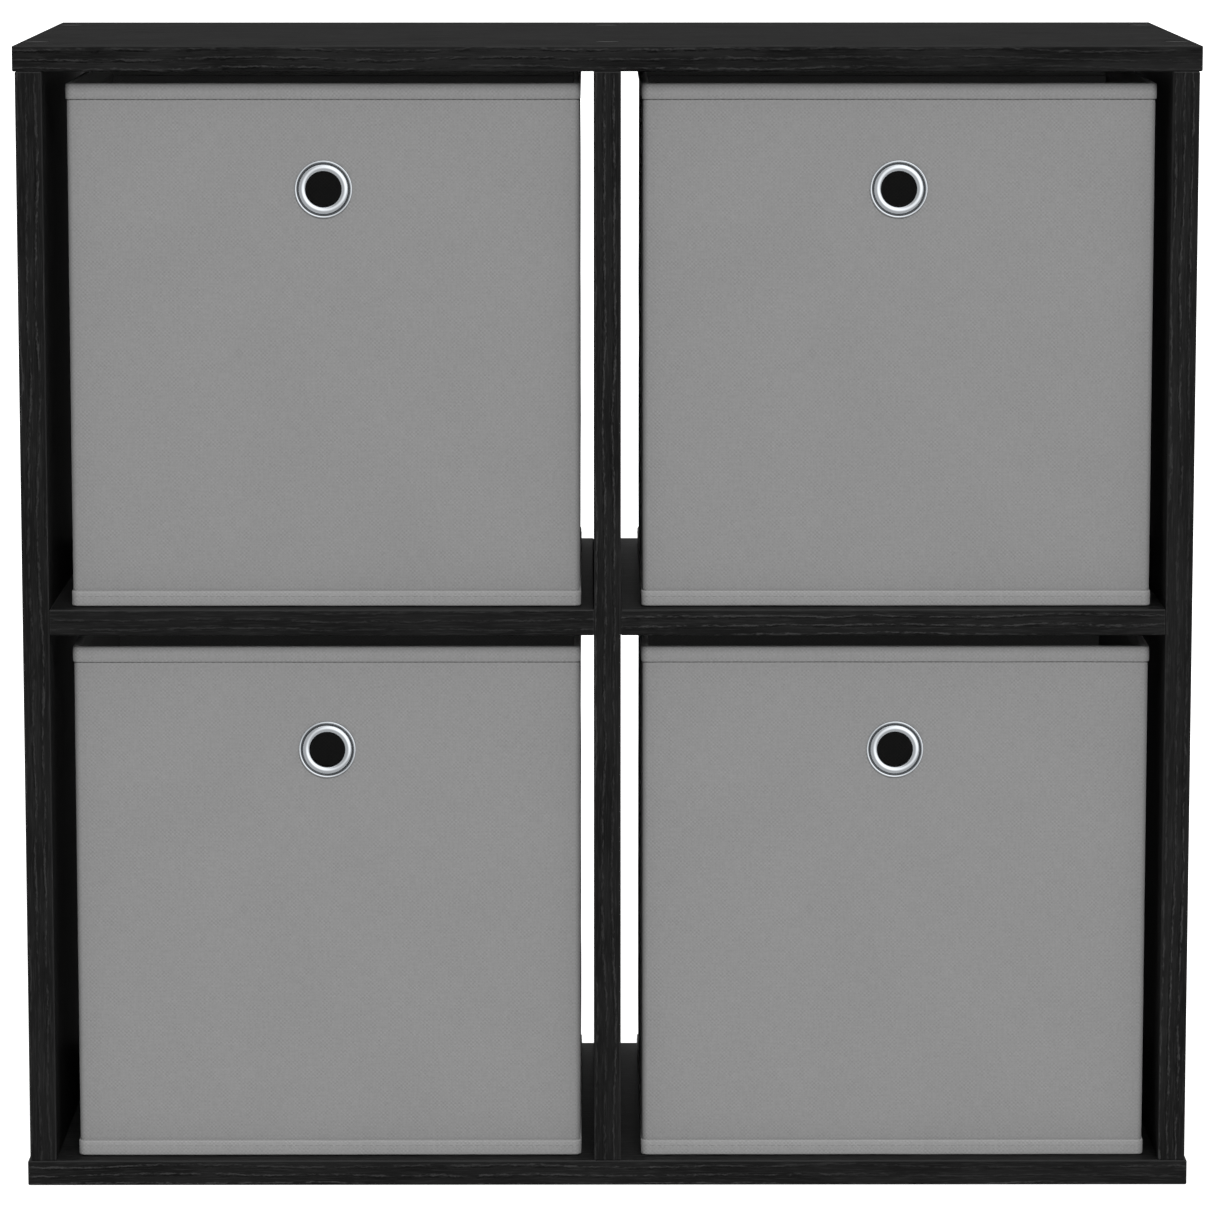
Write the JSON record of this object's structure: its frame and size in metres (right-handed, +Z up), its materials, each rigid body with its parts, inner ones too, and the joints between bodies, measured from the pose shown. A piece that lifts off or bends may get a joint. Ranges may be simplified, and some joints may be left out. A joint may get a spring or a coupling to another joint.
{
  "type": "cube storage unit",
  "caption": "Open-backed cube cabinet of dark wood-look boards with pull-out grey fabric boxes that have round metal eyelets and lift-out base boards.",
  "frame": {"origin": "on the floor, in the middle of the cabinet's footprint", "axes": "+Z up, -Y towards the front that the boxes are pulled out of, +X towards the right side seen from the front"},
  "size_m": [0.695, 0.325, 0.681],
  "materials": {
    "black_wood": "black wood-grain foil on board, satin, embossed",
    "grey_fabric": "non-woven and woven grey polyester over stiffener board, matt",
    "binding_fabric": "folded and stitched tape of the same grey cloth",
    "base_board": "stiff board covered in grey lining cloth",
    "eyelet_metal": "polished nickel plate",
    "screw_steel": "bright zinc plate",
    "cap_plastic": "moulded black plastic, satin",
    "dowel_wood": "plain beech"
  },
  "bodies": {
    "cabinet": {"top_panel": "black_wood", "bottom_panel": "black_wood", "left_side_panel": "black_wood", "right_side_panel": "black_wood", "centre_divider": "black_wood", "left_shelf": "black_wood", "right_shelf": "black_wood", "top_left_front_screw": "screw_steel", "top_left_front_cap": "cap_plastic", "bottom_left_front_screw": "screw_steel", "top_middle_front_screw": "screw_steel", "top_middle_front_cap": "cap_plastic", "bottom_middle_front_screw": "screw_steel", "top_right_front_screw": "screw_steel", "top_right_front_cap": "cap_plastic", "bottom_right_front_screw": "screw_steel", "left_shelf_front_screw": "screw_steel", "left_shelf_front_cap": "cap_plastic", "right_shelf_front_screw": "screw_steel", "right_shelf_front_cap": "cap_plastic", "shelf_dowel_front": "dowel_wood", "top_left_rear_screw": "screw_steel", "top_left_rear_cap": "cap_plastic", "bottom_left_rear_screw": "screw_steel", "top_middle_rear_screw": "screw_steel", "top_middle_rear_cap": "cap_plastic", "bottom_middle_rear_screw": "screw_steel", "top_right_rear_screw": "screw_steel", "top_right_rear_cap": "cap_plastic", "bottom_right_rear_screw": "screw_steel", "left_shelf_rear_screw": "screw_steel", "left_shelf_rear_cap": "cap_plastic", "right_shelf_rear_screw": "screw_steel", "right_shelf_rear_cap": "cap_plastic", "shelf_dowel_rear": "dowel_wood"},
    "lower_left_box": {"lower_left_fabric_shell": "grey_fabric", "lower_left_top_binding": "binding_fabric", "lower_left_bottom_binding": "binding_fabric", "lower_left_eyelet": "eyelet_metal", "lower_left_eyelet_washer": "eyelet_metal"},
    "lower_left_base": {"lower_left_base_board": "base_board"},
    "lower_right_box": {"lower_right_fabric_shell": "grey_fabric", "lower_right_top_binding": "binding_fabric", "lower_right_bottom_binding": "binding_fabric", "lower_right_eyelet": "eyelet_metal", "lower_right_eyelet_washer": "eyelet_metal"},
    "lower_right_base": {"lower_right_base_board": "base_board"},
    "upper_left_box": {"upper_left_fabric_shell": "grey_fabric", "upper_left_top_binding": "binding_fabric", "upper_left_bottom_binding": "binding_fabric", "upper_left_eyelet": "eyelet_metal", "upper_left_eyelet_washer": "eyelet_metal"},
    "upper_left_base": {"upper_left_base_board": "base_board"},
    "upper_right_box": {"upper_right_fabric_shell": "grey_fabric", "upper_right_top_binding": "binding_fabric", "upper_right_bottom_binding": "binding_fabric", "upper_right_eyelet": "eyelet_metal", "upper_right_eyelet_washer": "eyelet_metal"},
    "upper_right_base": {"upper_right_base_board": "base_board"}
  },
  "joints": [
    {"name": "lower_left_box_slide", "type": "slide", "parent": "cabinet", "child": "lower_left_box", "axis": [0, -1, 0], "range_m": [-0.013, 0.33]},
    {"name": "lower_left_base_lift", "type": "slide", "parent": "lower_left_box", "child": "lower_left_base", "axis": [0, 0, 1], "range_m": [0, 0.29]},
    {"name": "lower_right_box_slide", "type": "slide", "parent": "cabinet", "child": "lower_right_box", "axis": [0, -1, 0], "range_m": [-0.013, 0.33]},
    {"name": "lower_right_base_lift", "type": "slide", "parent": "lower_right_box", "child": "lower_right_base", "axis": [0, 0, 1], "range_m": [0, 0.29]},
    {"name": "upper_left_box_slide", "type": "slide", "parent": "cabinet", "child": "upper_left_box", "axis": [0, -1, 0], "range_m": [-0.013, 0.33]},
    {"name": "upper_left_base_lift", "type": "slide", "parent": "upper_left_box", "child": "upper_left_base", "axis": [0, 0, 1], "range_m": [0, 0.29]},
    {"name": "upper_right_box_slide", "type": "slide", "parent": "cabinet", "child": "upper_right_box", "axis": [0, -1, 0], "range_m": [-0.013, 0.33]},
    {"name": "upper_right_base_lift", "type": "slide", "parent": "upper_right_box", "child": "upper_right_base", "axis": [0, 0, 1], "range_m": [0, 0.29]}
  ]
}
